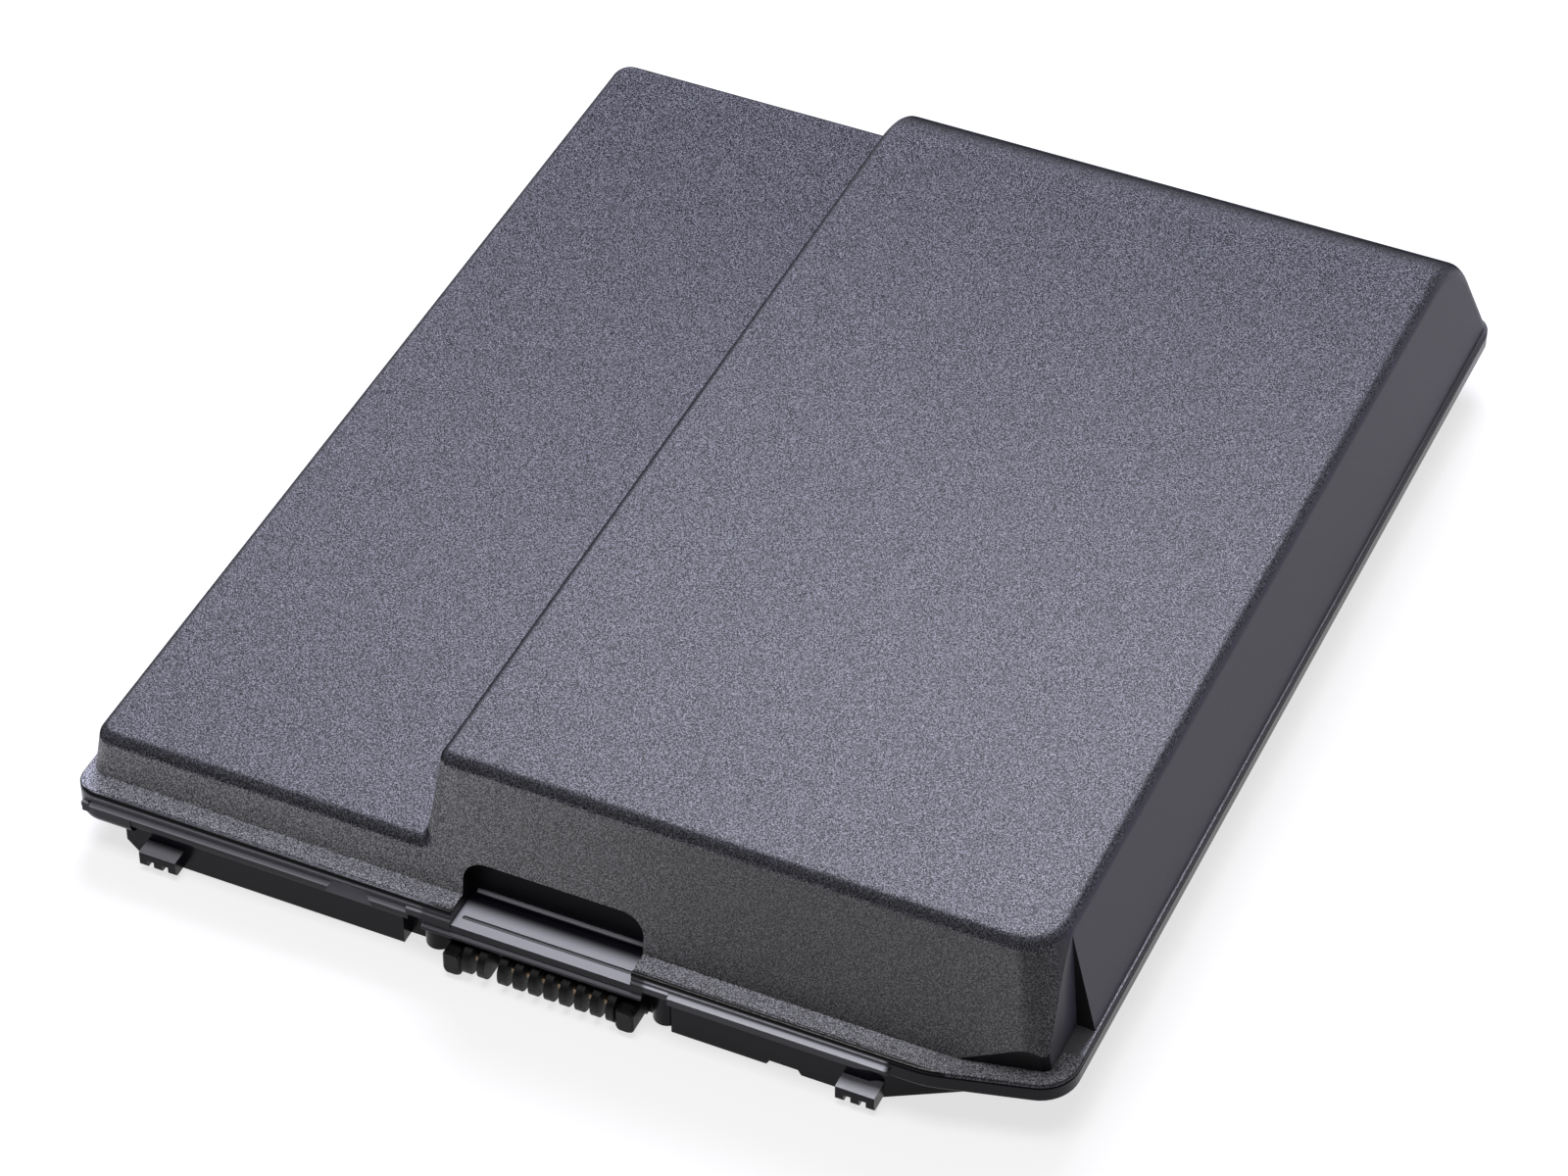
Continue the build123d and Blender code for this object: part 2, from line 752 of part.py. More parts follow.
# Connector housing: comb in front of the bay, neck through its wall and collar inside
with BuildPart() as connector_housing:
    with BuildSketch(Plane.XZ.offset(-nose)):
        for x_from in (left_outer, right_outer):
            with Locations((x_from + outer_block / 2, (comb_bottom + outer_top) / 2)):
                RectangleRounded(outer_block, outer_top - comb_bottom, block_radius)
    extrude(amount=nose - slot_end)
    chamfer(connector_housing.faces().sort_by(Axis.Y)[:2].edges(), length=block_edge)
    for fin in fins:
        comb_block(fin - fin_thickness / 2, fin_thickness)
    comb_block(left_inner, inner_block)
    comb_block(right_inner, inner_block)
    bar(left_outer, comb_right, slot_end, bay_back, comb_bottom, comb_top)
    bar(neck_left, neck_right, bay_back, bay_inside, tray_floor + housing_clearance, neck_top)
    bar(neck_left - collar_rim, neck_right + collar_rim, bay_inside, collar_back, tray_floor, collar_top)
    for x in contact_x:
        half = contact_thickness / 2 + contact_clearance
        bar(
            x - half,
            x + half,
            slot_end - 0.1,
            collar_back + 0.1,
            board_top - contact_clearance,
            contact_top + contact_clearance,
            mode=Mode.SUBTRACT,
        )
connector_housing.part.label = "connector_housing"
export_step(connector_housing.part, "parts/connector_housing.step")

# Contacts: eight blades in the slots, their tails lying on the board
with BuildPart() as contacts:
    with BuildSketch(*[Plane.YZ.offset(x - contact_thickness / 2) for x in contact_x]):
        with BuildLine():
            Polyline(
                (nose + contact_nose, board_top),
                (board_front + contact_tail, board_top),
                (board_front + contact_tail, board_top + contact_thickness),
                (board_front + 0.2, board_top + contact_thickness),
                (board_front + 0.2, contact_top),
                (nose + contact_nose, contact_top),
                close=True,
            )
        make_face()
    extrude(amount=contact_thickness)
contacts.part.label = "contacts"
export_step(contacts.part, "parts/contacts.step")

# Protection board with a hole for each peg
with BuildPart() as circuit_board:
    with BuildSketch(Plane.XY.offset(board_bottom)):
        with Locations((board_x, (board_front + board_back) / 2)):
            Rectangle(board_width, board_depth)
        with Locations(*[(x, y) for x, y, z in peg_spots]):
            Rectangle(peg_width + 2 * peg_clearance, peg_width + 2 * peg_clearance, mode=Mode.SUBTRACT)
    extrude(amount=board_thickness)
circuit_board.part.label = "circuit_board"
export_step(circuit_board.part, "parts/circuit_board.step")

# Parts on the board
with BuildPart() as gauge_chip:
    with Locations((board_x - 0.16 * board_width, board_front + 0.46 * board_depth, board_top)):
        Box(7, 7, 0.9, align=(Align.CENTER, Align.CENTER, Align.MIN))
    chamfer(gauge_chip.faces().sort_by(Axis.Z)[-1].edges(), length=0.2)
gauge_chip.part.label = "gauge_chip"
export_step(gauge_chip.part, "parts/gauge_chip.step")

with BuildPart() as mosfets:
    for x in (board_x + 0.06 * board_width, board_x + 0.18 * board_width):
        with Locations((x, board_front + 0.6 * board_depth, board_top)):
            Box(4.9, 3.9, 1.4, align=(Align.CENTER, Align.CENTER, Align.MIN))
        with Locations((x, board_front + 0.6 * board_depth, board_top)):
            with GridLocations(1.27, 5.0, 4, 2):
                Box(0.42, 1.2, 0.25, align=(Align.CENTER, Align.CENTER, Align.MIN))
mosfets.part.label = "mosfets"
export_step(mosfets.part, "parts/mosfets.step")

with BuildPart() as fuse:
    with Locations((board_x + 0.32 * board_width, board_front + 0.5 * board_depth, board_top)):
        Box(4.4, 2.4, 1.9, align=(Align.CENTER, Align.CENTER, Align.MIN))
        with GridLocations(4.9, 0, 2, 1):
            Box(1.2, 2.7, 2.1, align=(Align.CENTER, Align.CENTER, Align.MIN))
fuse.part.label = "fuse"
export_step(fuse.part, "parts/fuse.step")

with BuildPart() as sense_resistor:
    with Locations((board_x - 0.32 * board_width, board_front + 0.7 * board_depth, board_top)):
        Box(6.3, 3.1, 0.7, align=(Align.CENTER, Align.CENTER, Align.MIN))
sense_resistor.part.label = "sense_resistor"
export_step(sense_resistor.part, "parts/sense_resistor.step")

with BuildPart() as capacitors:
    with Locations((board_x - 0.31 * board_width, board_front + 0.43 * board_depth, board_top)):
        with GridLocations(2.6, 2.2, 3, 2):
            Box(1.6, 0.8, 0.8, align=(Align.CENTER, Align.CENTER, Align.MIN))
capacitors.part.label = "capacitors"
export_step(capacitors.part, "parts/capacitors.step")

# Cells: ten sealed cans, one layer on the left and two layers on the right
cell_spots = []
for y_from in (front_row, back_row):
    cell_spots.append((low_column, y_from, tray_floor))
    for z_from in (tray_floor, upper_bottom):
        for column in (mid_column, right_column):
            cell_spots.append((column, y_from, z_from))
for number, (x, y, z) in enumerate(cell_spots, start=1):
    middle = (x, z + cell_thickness / 2)
    with BuildPart() as cell:
        with BuildSketch(Plane.XZ.offset(-y)):
            with Locations(middle):
                RectangleRounded(cell_width, cell_thickness, can_radius)
        extrude(amount=-(cell_length - terminal_height))
        with BuildSketch(Plane.XZ.offset(-(y + cell_length - terminal_height))):
            with Locations(middle):
                Rectangle(terminal_width, terminal_thickness)
        extrude(amount=-terminal_height)
    cell.part.label = f"cell_{number:02d}"
    export_step(cell.part, f"parts/cell_{number:02d}.step")


def bus_plate(y_from):
    """Nickel plate across the cell ends, with a weld slit at each cell."""
    ends = [(low_column, lower_middle)]
    ends += [(column, z) for column in (mid_column, right_column) for z in (lower_middle, upper_middle)]
    right_end = right_column + bus_margin
    with BuildSketch(Plane.XZ.offset(-y_from)) as profile:
        bus_rows = [(low_column - bus_margin, lower_middle), (mid_column - bus_margin, upper_middle)]
        for left_end, z in bus_rows:
            with Locations(((left_end + right_end) / 2, z)):
                Rectangle(right_end - left_end, bus_band)
        for column in (mid_column, right_column):
            with Locations((column, (lower_middle + upper_middle) / 2)):
                Rectangle(bus_riser, upper_middle - lower_middle)
        with Locations(*ends):
            Rectangle(weld_slit_width, weld_slit_length, mode=Mode.SUBTRACT)
    extrude(profile.sketch, amount=-bus_thickness)


# Nickel plates and leads
with BuildPart() as front_bus:
    bus_plate(front_bus_y)
    tab_path = [
        (board_back - lead_landing, board_top),
        (front_row, board_top),
        (front_row, lower_middle - bus_band / 4),
    ]
    folded_strip(front_tab_x, return_width, tab_path, bus_thickness)
front_bus.part.label = "front_bus"
export_step(front_bus.part, "parts/front_bus.step")

with BuildPart() as middle_link:
    bus_plate(middle_link_y)
middle_link.part.label = "middle_link"
export_step(middle_link.part, "parts/middle_link.step")

with BuildPart() as rear_bus:
    bus_plate(rear_bus_y)
rear_bus.part.label = "rear_bus"
export_step(rear_bus.part, "parts/rear_bus.step")

channel_left = low_column + cell_width / 2


def board_lead(y_end):
    """Path from the top of the board down to the floor, along it and up behind a plate."""
    return [
        (board_back - lead_landing, board_top),
        (board_back + lead_landing / 4, board_top),
        (board_back + lead_landing / 4, tray_floor),
        (y_end + lead_thickness, tray_floor),
        (y_end + lead_thickness, lead_end_height),
    ]


with BuildPart() as return_strip:
    return_x = channel_left + lead_margin + return_width / 2
    folded_strip(return_x, return_width, board_lead(rear_bus_y + bus_thickness), lead_thickness)
return_strip.part.label = "return_strip"
export_step(return_strip.part, "parts/return_strip.step")

with BuildPart() as sense_strip:
    sense_x = channel_left + 2 * lead_margin + return_width + sense_width / 2
    folded_strip(sense_x, sense_width, board_lead(middle_link_y + bus_thickness), lead_thickness)
sense_strip.part.label = "sense_strip"
export_step(sense_strip.part, "parts/sense_strip.step")

# Temperature sensor: a bead on the single layer with its flat lead to the board
with BuildPart() as thermistor:
    sensor_path = [
        (board_back - lead_landing, board_top),
        (front_bus_y - sensor_standoff, board_top),
        (front_bus_y - sensor_standoff, lower_top),
        (front_row + sensor_reach, lower_top),
    ]
    folded_strip(sensor_x, sensor_width, sensor_path, bus_thickness)
    bar(
        sensor_x - bead_width / 2,
        sensor_x + bead_width / 2,
        front_row + sensor_reach - bead_length,
        front_row + sensor_reach,
        lower_top,
        lower_top + bead_height,
    )
thermistor.part.label = "thermistor"
export_step(thermistor.part, "parts/thermistor.step")

# Foam tape between the layers and foam pads under the cover
rows = (front_row + cell_length / 2, back_row + cell_length / 2)
with BuildPart() as layer_tape:
    with Locations(*[(column, y, lower_top) for column in (mid_column, right_column) for y in rows]):
        Box(pad_width, pad_length, layer_tape_thickness, align=(Align.CENTER, Align.CENTER, Align.MIN))
layer_tape.part.label = "layer_tape"
export_step(layer_tape.part, "parts/layer_tape.step")

with BuildPart() as low_pad:
    with Locations(*[(low_column, y + sensor_reach, lower_top) for y in rows]):
        Box(pad_width, low_pad_length, low_pad_thickness, align=(Align.CENTER, Align.CENTER, Align.MIN))
low_pad.part.label = "low_pad"
export_step(low_pad.part, "parts/low_pad.step")

with BuildPart() as top_pads:
    with Locations(*[(column, y, upper_top) for column in (mid_column, right_column) for y in rows]):
        Box(pad_width, pad_length, top_pad_thickness, align=(Align.CENTER, Align.CENTER, Align.MIN))
top_pads.part.label = "top_pads"
export_step(top_pads.part, "parts/top_pads.step")
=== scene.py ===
import bpy
from mathutils import Matrix, Vector

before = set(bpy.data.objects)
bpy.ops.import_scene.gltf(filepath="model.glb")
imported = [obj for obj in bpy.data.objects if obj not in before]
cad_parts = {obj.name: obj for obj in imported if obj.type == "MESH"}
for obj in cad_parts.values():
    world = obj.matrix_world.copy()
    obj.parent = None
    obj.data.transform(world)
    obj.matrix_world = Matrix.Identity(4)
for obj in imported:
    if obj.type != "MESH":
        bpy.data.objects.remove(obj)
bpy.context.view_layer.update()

MM = 0.001
scene = bpy.context.scene
scene.view_settings.view_transform = "Standard"


def mm(*values):
    """Lengths in mm as metres."""
    return tuple(value * MM for value in values)


# Camera fitted to the photograph: 1600 x 1200 frame, no shift
CAMERA_AT = Vector((199.712, -452.064, 455.095)) * MM
CAMERA_RIGHT = Vector((0.911249, 0.411855, 0.000948))
CAMERA_UP = Vector((-0.278996, 0.615595, 0.737024))
CAMERA_AHEAD = Vector((-0.302963, 0.671877, -0.675866))
FOCAL_PIXELS = 5425.365
FRAME_WIDTH = 1600
SENSOR = 36.0
CLIP_NEAR = 0.01
CLIP_FAR = 20

camera_data = bpy.data.cameras.new("camera")
camera_data.sensor_width = SENSOR
camera_data.lens = FOCAL_PIXELS / FRAME_WIDTH * SENSOR
camera_data.clip_start = CLIP_NEAR
camera_data.clip_end = CLIP_FAR
camera = bpy.data.objects.new("camera", camera_data)
turn = Matrix((CAMERA_RIGHT, CAMERA_UP, -CAMERA_AHEAD)).transposed().to_4x4()
camera.matrix_world = Matrix.Translation(CAMERA_AT) @ turn
scene.collection.objects.link(camera)
scene.camera = camera


def area_light(name, at, towards, size, power, colour):
    """Rectangular soft light aimed at a point."""
    data = bpy.data.lights.new(name, "AREA")
    data.shape = "RECTANGLE"
    data.size, data.size_y = size
    data.energy = power
    data.color = colour
    light = bpy.data.objects.new(name, data)
    light.location = at
    light.rotation_euler = (Vector(towards) - Vector(at)).to_track_quat("-Z", "Y").to_euler()
    scene.collection.objects.link(light)


# Soft light from above, and two bluish ones from behind for the sheen on the decks
area_light(
    "top_light",
    at=(0, -0.25, 1.2),
    towards=(0, -0.05, 0),
    size=(0.6, 0.45),
    power=5.4,
    colour=(1, 1, 1),
)
area_light(
    "back_light",
    at=(-0.25, 0.7, 0.9),
    towards=(0.02, -0.03, 0.02),
    size=(0.55, 0.45),
    power=10.6,
    colour=(0.9, 0.9, 1.14),
)
area_light(
    "high_light",
    at=(-0.12, 0.55, 1.1),
    towards=(0, -0.05, 0.02),
    size=(0.5, 0.4),
    power=1.6,
    colour=(0.94, 0.94, 1.08),
)

# Numbers of the colour sockets on a Mix node, whose names repeat for each kind of data
MIX_FIRST = 6
MIX_SECOND = 7
MIX_RESULT = 2


class Nodes:
    """Node tree of one material, with a short call for each kind of node used here."""

    def __init__(self, tree):
        self.tree = tree

    def add(self, kind, inputs=None, **settings):
        """New node with its settings, and its inputs as values or as sockets to link."""
        node = self.tree.nodes.new(kind)
        for name, value in settings.items():
            setattr(node, name, value)
        for name, value in (inputs or {}).items():
            if isinstance(value, bpy.types.NodeSocket):
                self.tree.links.new(value, node.inputs[name])
            else:
                node.inputs[name].default_value = value
        return node

    def math(self, operation, first, *others):
        """One operation along a row of numbers or sockets."""
        for other in others:
            first = self.add("ShaderNodeMath", {0: first, 1: other}, operation=operation).outputs[0]
        return first

    def times(self, *values):
        """Product."""
        return self.math("MULTIPLY", *values)

    def most(self, *values):
        """Largest value."""
        return self.math("MAXIMUM", *values)

    def total(self, *values):
        """Sum."""
        return self.math("ADD", *values)

    def left_of_one(self, value, share=1.0):
        """One less a share of a value."""
        return self.math("SUBTRACT", 1.0, self.times(value, share))

    def step(self, value, low, high, to_low=0.0, to_high=1.0):
        """Smooth step from one range to another."""
        inputs = {"Value": value, "From Min": low, "From Max": high, "To Min": to_low, "To Max": to_high}
        return self.add("ShaderNodeMapRange", inputs, interpolation_type="SMOOTHSTEP").outputs["Result"]

    def fall(self, value, low, high):
        """Smooth step from one down to zero."""
        return self.step(value, low, high, 1.0, 0.0)

    def between(self, value, low, high, soft):
        """One inside a range, zero outside it."""
        inside = self.step(value, low - soft, low + soft)
        return self.times(inside, self.fall(value, high - soft, high + soft))

    def noise(self, place, scale, detail, roughness=0.5):
        """Noise value at a place."""
        inputs = {"Vector": place, "Scale": scale, "Detail": detail, "Roughness": roughness}
        return self.add("ShaderNodeTexNoise", inputs).outputs["Fac"]

    def ramp(self, value, stops, colours):
        """Colour from a value, with one colour at each stop."""
        node = self.add("ShaderNodeValToRGB", {"Fac": value})
        elements = node.color_ramp.elements
        while len(elements) < len(stops):
            elements.new(0.5)
        for element, stop, colour in zip(elements, stops, colours):
            element.position = stop
            element.color = (*colour, 1)
        return node.outputs["Color"]

    def blend(self, share, first, second):
        """Mix of two colour sockets."""
        node = self.add("ShaderNodeMix", data_type="RGBA")
        self.tree.links.new(share, node.inputs["Factor"])
        self.tree.links.new(first, node.inputs[MIX_FIRST])
        self.tree.links.new(second, node.inputs[MIX_SECOND])
        return node.outputs[MIX_RESULT]

    def along_axes(self, vector):
        """X, Y and Z of a vector."""
        return self.add("ShaderNodeSeparateXYZ", {"Vector": vector}).outputs

    def normal(self):
        """X, Y and Z of the direction that the surface faces."""
        return self.along_axes(self.add("ShaderNodeNewGeometry").outputs["Normal"])

    def finish(self, shader, colour, roughness, height, strength, distance):
        """Link colour, roughness and bump to the main shader."""
        self.tree.links.new(colour, shader.inputs["Base Color"])
        self.tree.links.new(roughness, shader.inputs["Roughness"])
        bump = self.add("ShaderNodeBump", {"Strength": strength, "Distance": distance, "Height": height})
        self.tree.links.new(bump.outputs["Normal"], shader.inputs["Normal"])


def new_material(name):
    """Material with its nodes, its main shader and the object's own coordinates."""
    material = bpy.data.materials.new(name)
    material.use_nodes = True
    nodes = Nodes(material.node_tree)
    place = nodes.add("ShaderNodeTexCoord").outputs["Object"]
    return material, nodes, material.node_tree.nodes["Principled BSDF"], place


# White floor: grey to the light that falls on the object, white to the eye and in reflections
FLOOR_REACH = 4.0
FLOOR_DROP = 0.2 * MM
FLOOR_GREY = 0.45
FLOOR_PALE = 0.4
FLOOR_GLOW = 0.72


def grey(level):
    """Opaque grey."""
    return (level, level, level, 1)


floor_mesh = bpy.data.meshes.new("floor")
floor_corners = [
    (x * FLOOR_REACH, y * FLOOR_REACH, 0) for x, y in ((-1, -1), (1, -1), (1, 1), (-1, 1))
]
floor_mesh.from_pydata(floor_corners, [], [(0, 1, 2, 3)])
floor = bpy.data.objects.new("floor", floor_mesh)
floor.location.z = -FLOOR_DROP
scene.collection.objects.link(floor)
floor_material = bpy.data.materials.new("floor")
floor_material.use_nodes = True
floor_nodes = Nodes(floor_material.node_tree)
path = floor_nodes.add("ShaderNodeLightPath").outputs
seen = floor_nodes.most(path["Is Camera Ray"], path["Is Glossy Ray"], path["Is Transmission Ray"])
dull = floor_nodes.add("ShaderNodeBsdfDiffuse", {"Color": grey(FLOOR_GREY)})
pale = floor_nodes.add("ShaderNodeBsdfDiffuse", {"Color": grey(FLOOR_PALE)})
glow = floor_nodes.add("ShaderNodeEmission", {"Color": grey(1), "Strength": FLOOR_GLOW})
white = floor_nodes.add("ShaderNodeAddShader", {0: pale.outputs[0], 1: glow.outputs[0]})
pick = floor_nodes.add("ShaderNodeMixShader", {0: seen, 1: dull.outputs[0], 2: white.outputs[0]})
floor_output = floor_material.node_tree.nodes["Material Output"]
floor_material.node_tree.links.new(pick.outputs[0], floor_output.inputs["Surface"])
floor_mesh.materials.append(floor_material)

# Even white light from all round
WORLD_STRENGTH = 0.12
world = bpy.data.worlds.new("studio")
scene.world = world
world.use_nodes = True
background = world.node_tree.nodes["Background"].inputs
background["Color"].default_value = grey(1)
background["Strength"].default_value = WORLD_STRENGTH

# Stops of the noise value for colours in drifting clouds and in sharp grain
CLOUD_STOPS = (0.3, 0.7)
GRAIN_STOPS = (0.4, 0.5, 0.6)

# Cover: grain and shades, from dark to light, with painted light and painted shade among them
GRAIN_TURN = (0.5, 0.35, 0.7)
FINE_GRAIN = 8800
COARSE_GRAIN = 5000
FINE_SHARE = 0.65
COARSE_SHARE = 0.35
COVER_CLOUD = 18
DECK_SHADES = ((0.0035, 0.0035, 0.0045), (0.051, 0.051, 0.061), (0.335, 0.335, 0.39))
# Walls: painted light, brighter than the decks and brighter on the left than on the right
LEFT_WALL_PAINTED_LIGHT = ((0.03, 0.03, 0.031), (0.21, 0.21, 0.219), (0.68, 0.68, 0.705))
RIGHT_WALL_PAINTED_LIGHT = ((0.008, 0.008, 0.009), (0.07, 0.07, 0.074), (0.3, 0.3, 0.312))
# Strip in front of the walls: painted light, for light that the walls keep off it
STRIP_PAINTED_LIGHT = ((0.034, 0.034, 0.041), (0.27, 0.27, 0.315), (0.82, 0.82, 0.95))
# Rounded edges between flats and walls: painted shade
EDGE_PAINTED_SHADE = ((0.034, 0.034, 0.039), (0.041, 0.041, 0.047))
SIDE_SHADES = ((0.083, 0.077, 0.107), (0.096, 0.09, 0.121))
# Right rim lip: painted light; the same grey also lies on the right-facing faces in front of the pocket's
# back
LIT_LIP_AND_POCKET_SHADES = ((0.1, 0.098, 0.11), (0.115, 0.113, 0.125))
# Near-black of the recess walls and the rim bead, also used as painted shade
COVER_BLACK_AND_SHADE = ((0.008, 0.008, 0.009), (0.012, 0.012, 0.013))

# Cover: places between which a look changes
# Painted light on the walls falls off from left to right between these places
WALL_LIGHT_FALLOFF = mm(-30, 30)
RECESS_SIDES = mm(-12.8, 11.0)
RECESS_SOFT = 0.1 * MM
OVER_STRIP = mm(9.16, 9.25)
FRONT_PART = mm(-60, -59)
RIM_BEAD = mm(-75.25, -75.15)
# Strip: painted light, weaker towards the pocket on the right
STRIP_TOP = mm(9.2, 9.3)
STRIP_BACK = mm(-71, -69)
STRIP_RIGHT = mm(38, 56)
STRIP_RIGHT_SHADE_SHARE = 0.25
POCKET_BACK = mm(-66.8, -66.0)
LIP_TOP = mm(9.4, 9.9)
LIP_SIDE = mm(60.0, 60.6)

# Cover: parts of the normal between which a look changes
DECK_UP = (0.17, 0.32)
SIDE_RIGHT = (0.7, 0.95)
UPRIGHT = (0.03, 0.09)
OVERHANG = (-0.10, -0.04)
STRIP_UP = (0.8, 0.95)
EDGE_BELOW = (0.25, 0.45)
EDGE_ABOVE = (0.88, 0.98)
# Normals for painted shade on the back edge, the step's left edge and the front right corner
BACK_EDGE_TURN = (0.1, 0.5)
BACK_EDGE_UP = (0.4, 0.65)
LEFT_EDGE_TURN = (-0.8, -0.4)
LEFT_EDGE_UP = (0.15, 0.35)
CORNER_TURN = (0.2, 0.65)
CORNER_SOFT = 0.12
CORNER_UP = (0.2, 0.3)
FLAT_UP = (0.84, 0.985)
STEEP_UP = (0.13, 0.3)
STEEP_RIGHT = (0.4, 0.8)

# Cover: how strongly each look shows, the painted shade on edges, turns and the corner among them
EDGE_SHADE_SHARE = 0.6
CORNER_SHADE_SHARE = 0.55
TURNED_SHADE_SHARE = 0.7
ROUGH_GRAIN = (0.3, 0.7)
COVER_ROUGH = (0.52, 0.40)
SMOOTH_ROUGH_CUT = 0.12
SMOOTH_BUMP_CUT = 0.95
COVER_BUMP = 0.8
COVER_BUMP_DEPTH = 0.25 * MM

# Cover: sheen, strongest on the decks in front and on the right
SHEEN_DEPTH = mm(-50, 90)
SHEEN_FRONT_TO_BACK = (1.06, 0.02)
SHEEN_WIDTH = mm(-100, 100)
SHEEN_LEFT_TO_RIGHT = (0.57, 1.58)
SHEEN_GRAIN = (0.4, 0.6)
SHEEN_DARK_TO_LIGHT = (0.55, 1.45)
STEEP_SHEEN = (0.55, 0.0)
BLACK_SHEEN_CUT = 0.9
LEAST_SHEEN = 0.06
SIDE_SHEEN_CUT = 0.3


def cover_zones(nodes, at, facing):
    """Shares from zero to one that tell where each look of the cover lies, painted light and shade among
    them.
    """
    at_front = nodes.fall(at["Y"], *FRONT_PART)
    behind_pocket = nodes.step(at["Y"], *POCKET_BACK)
    in_recess = nodes.between(at["X"], *RECESS_SIDES, RECESS_SOFT)
    recess_wall = nodes.times(in_recess, nodes.fall(facing["Z"], *UPRIGHT))
    # Faces that look down, above the strip's level, are painted near-black as shade
    shaded_overhang = nodes.times(nodes.step(at["Z"], *OVER_STRIP), nodes.fall(facing["Z"], *OVERHANG))
    black = nodes.times(nodes.most(recess_wall, shaded_overhang), at_front)
    black = nodes.most(black, nodes.fall(at["Y"], *RIM_BEAD))
    # Painted light on the strip in front of the walls, weaker towards the right
    strip = nodes.times(
        nodes.fall(at["Z"], *STRIP_TOP),
        nodes.step(facing["Z"], *STRIP_UP),
        nodes.step(at["X"], *STRIP_RIGHT, 1.0, STRIP_RIGHT_SHADE_SHARE),
        nodes.fall(at["Y"], *STRIP_BACK),
    )
    # Painted shade: dark bands on the back edge's rounding, along the step's left edge and at the front
    # right corner
    back_edge_shade = nodes.times(nodes.step(facing["Y"], *BACK_EDGE_TURN), nodes.step(facing["Z"], *BACK_EDGE_UP))
    left_edge_shade = nodes.times(nodes.fall(facing["X"], *LEFT_EDGE_TURN), nodes.step(facing["Z"], *LEFT_EDGE_UP))
    corner_shade = nodes.times(
        nodes.between(facing["X"], *CORNER_TURN, CORNER_SOFT),
        nodes.fall(facing["Z"], *CORNER_UP),
        at_front,
        CORNER_SHADE_SHARE,
    )
    # Painted light on the right rim's lip and side, which lie in shade
    lit_lip = nodes.times(nodes.fall(at["Z"], *LIP_TOP), nodes.step(at["X"], *LIP_SIDE), behind_pocket)
    return {
        "deck": nodes.step(facing["Z"], *DECK_UP),
        # painted shade on the rounded edges between flats and walls
        "edge": nodes.times(nodes.step(facing["Z"], *EDGE_BELOW), nodes.fall(facing["Z"], *EDGE_ABOVE)),
        "strip": strip,
        "turned": nodes.most(back_edge_shade, left_edge_shade, corner_shade),
        "side": nodes.step(facing["X"], *SIDE_RIGHT),
        "behind_pocket": behind_pocket,
        "lit_lip": lit_lip,
        "black": black,
    }


def cover_colour(nodes, zones, at, grain, cloud):
    """Colours of the cover, laid over each other by zone, painted light and painted shade among them."""
    # Walls carry painted light: paler than the decks, and paler on the left than on the right
    left_wall_lit = nodes.ramp(grain, GRAIN_STOPS, LEFT_WALL_PAINTED_LIGHT)
    right_wall_lit = nodes.ramp(grain, GRAIN_STOPS, RIGHT_WALL_PAINTED_LIGHT)
    wall = nodes.blend(nodes.step(at["X"], *WALL_LIGHT_FALLOFF), left_wall_lit, right_wall_lit)
    # pale grey: painted light on the rim lip, also laid on the pocket's right-facing faces
    lit_lip = nodes.ramp(cloud, CLOUD_STOPS, LIT_LIP_AND_POCKET_SHADES)
    side = nodes.blend(zones["behind_pocket"], lit_lip, nodes.ramp(cloud, CLOUD_STOPS, SIDE_SHADES))
    black = nodes.ramp(cloud, CLOUD_STOPS, COVER_BLACK_AND_SHADE)
    layers = (
        (zones["deck"], nodes.ramp(grain, GRAIN_STOPS, DECK_SHADES)),
        (nodes.times(zones["edge"], EDGE_SHADE_SHARE), nodes.ramp(cloud, CLOUD_STOPS, EDGE_PAINTED_SHADE)),
        (zones["strip"], nodes.ramp(grain, GRAIN_STOPS, STRIP_PAINTED_LIGHT)),
        # painted shade on the turned edges and the corner, in near-black
        (nodes.times(zones["turned"], TURNED_SHADE_SHARE), black),
        (zones["side"], side),
        (zones["lit_lip"], lit_lip),
        (zones["black"], black),
    )
    colour = wall
    for share, layer in layers:
        colour = nodes.blend(share, colour, layer)
    return colour


def cover_sheen(nodes, zones, at, facing, grain):
    """Strength of the cover's reflections: flats and walls shine, turned edges don't."""
    flat = nodes.times(
        nodes.step(facing["Z"], *FLAT_UP),
        nodes.step(at["Y"], *SHEEN_DEPTH, *SHEEN_FRONT_TO_BACK),
        nodes.step(at["X"], *SHEEN_WIDTH, *SHEEN_LEFT_TO_RIGHT),
        nodes.step(grain, *SHEEN_GRAIN, *SHEEN_DARK_TO_LIGHT),
    )
    steep = nodes.times(
        nodes.step(facing["Z"], *STEEP_UP, *STEEP_SHEEN),
        nodes.fall(facing["X"], *STEEP_RIGHT),
        nodes.left_of_one(zones["black"], BLACK_SHEEN_CUT),
    )
    sheen = nodes.total(nodes.most(flat, steep), LEAST_SHEEN)
    cut = nodes.most(zones["turned"], nodes.times(zones["side"], SIDE_SHEEN_CUT))
    return nodes.times(sheen, nodes.left_of_one(cut))


